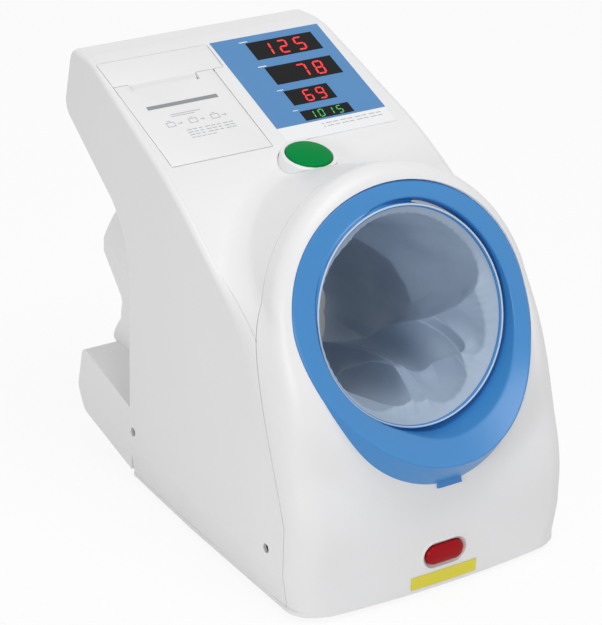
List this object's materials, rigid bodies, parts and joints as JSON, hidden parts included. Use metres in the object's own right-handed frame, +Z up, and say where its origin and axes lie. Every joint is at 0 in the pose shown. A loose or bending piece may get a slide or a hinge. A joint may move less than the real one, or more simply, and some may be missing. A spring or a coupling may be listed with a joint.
{
  "type": "arm-in blood pressure monitor",
  "caption": "Arm-in blood pressure monitor with a slanted cuff tunnel, blue mouth ring, start and stop buttons, segment display, receipt printer and rear elbow rest",
  "frame": {"origin": "centre of the bounding box's bottom face, on the table", "axes": "+X to the right of the user who faces the mouth, +Y away from the user, +Z up"},
  "size_m": [0.241, 0.39, 0.324],
  "materials": {
    "cover": "satin",
    "foot": "matte",
    "screw": "satin",
    "pad": "matte",
    "ring": "satin",
    "cloth": "matte",
    "hoop": "satin",
    "frame": "satin",
    "bladder": "matte",
    "motor": "satin",
    "gear": "satin",
    "start": "gloss",
    "stop": "gloss",
    "spring": "satin",
    "switch": "satin",
    "yellow_label": "satin",
    "overlay": "satin",
    "strip": "satin",
    "window": "gloss",
    "board": "satin",
    "bay": "satin",
    "paper": "matte",
    "platen": "matte",
    "port": "satin"
  },
  "bodies": {
    "body": {"base_tray": "cover", "rubber_feet": "foot", "front_cover": "cover", "left_side_cover": "cover", "right_side_cover": "cover", "top_cover": "cover", "rear_cover": "cover", "cover_screws": "screw", "elbow_rest": "cover", "elbow_pad": "pad", "rear_collar": "cover", "cuff_ring": "ring", "ring_catch": "ring", "tunnel_tube": "frame", "cloth_hoop": "hoop", "cuff_cloth": "cloth", "air_bladder": "bladder", "winding_motor": "motor", "drum_bracket": "frame", "start_collar": "cover", "start_spring": "spring", "start_switch": "switch", "stop_bezel": "cover", "stop_switch": "switch", "stop_label": "yellow_label", "display_panel": "overlay", "caption_strip": "strip", "systolic_window": "window", "diastolic_window": "window", "pulse_window": "window", "clock_window": "window", "display_board": "board", "printer_top_plate": "cover", "printer_bay": "bay", "door_hinge_pin": "screw", "paper_spindle": "bay", "print_head": "motor", "printer_motor": "motor", "main_board": "board", "power_supply": "motor", "air_pump": "switch", "exhaust_valves": "frame", "air_hose": "bladder", "power_inlet": "switch", "rocker_bezel": "switch", "serial_ports": "port", "speaker": "switch"},
    "start_button": {"start_button": "start"},
    "stop_button": {"stop_button": "stop"},
    "door": {"printer_door": "cover", "door_label": "strip"},
    "platen": {"platen_roller": "platen", "platen_gear": "gear"},
    "pinion": {"motor_pinion": "gear"},
    "paper": {"paper_roll": "paper"},
    "rocker": {"power_rocker": "switch"},
    "drum": {"winding_drum": "gear"},
    "winder": {"winding_pinion": "gear"}
  },
  "joints": [
    {"name": "start_button_press", "type": "slide", "parent": "body", "child": "start_button", "axis": [0, 0.2113, -0.9774], "range_m": [0, 0.0025], "stiffness_N_per_m": 600, "springref_m": -0.002, "deforming": ["start_spring"]},
    {"name": "stop_button_press", "type": "slide", "parent": "body", "child": "stop_button", "axis": [0, 1, 0], "range_m": [0, 0.002], "stiffness_N_per_m": 800, "springref_m": -0.001},
    {"name": "printer_door_hinge", "type": "hinge", "parent": "body", "child": "door", "pos_m": [-0.0595, 0.03425, 0.27574], "axis": [1, 0, 0], "range_deg": [0, 80]},
    {"name": "platen_spin", "type": "hinge", "parent": "body", "child": "platen", "pos_m": [-0.0605, 0.11279, 0.29823], "axis": [1, 0, 0], "continuous": true},
    {"name": "motor_pinion_spin", "type": "hinge", "parent": "body", "child": "pinion", "pos_m": [-0.025, 0.11677, 0.28851], "axis": [1, 0, 0], "continuous": true},
    {"name": "paper_roll_spin", "type": "hinge", "parent": "body", "child": "paper", "pos_m": [-0.0605, 0.07924, 0.26934], "axis": [1, 0, 0], "continuous": true},
    {"name": "power_rocker_tilt", "type": "hinge", "parent": "body", "child": "rocker", "pos_m": [-0.024, 0.18575, 0.29734], "axis": [1, 0, 0], "range_deg": [-12, 0]},
    {"name": "winding_drum_spin", "type": "hinge", "parent": "body", "child": "drum", "pos_m": [0, -0.09057, 0.06803], "axis": [0, -0.9348, 0.3551], "continuous": true},
    {"name": "winding_pinion_spin", "type": "hinge", "parent": "body", "child": "winder", "pos_m": [-0.0242, -0.09057, 0.06803], "axis": [0, -0.9348, 0.3551], "continuous": true}
  ],
  "couplings": [
    {"joint": "motor_pinion_spin", "follows": "platen_spin", "ratio": -2},
    {"joint": "winding_pinion_spin", "follows": "winding_drum_spin", "ratio": -2.6667}
  ]
}
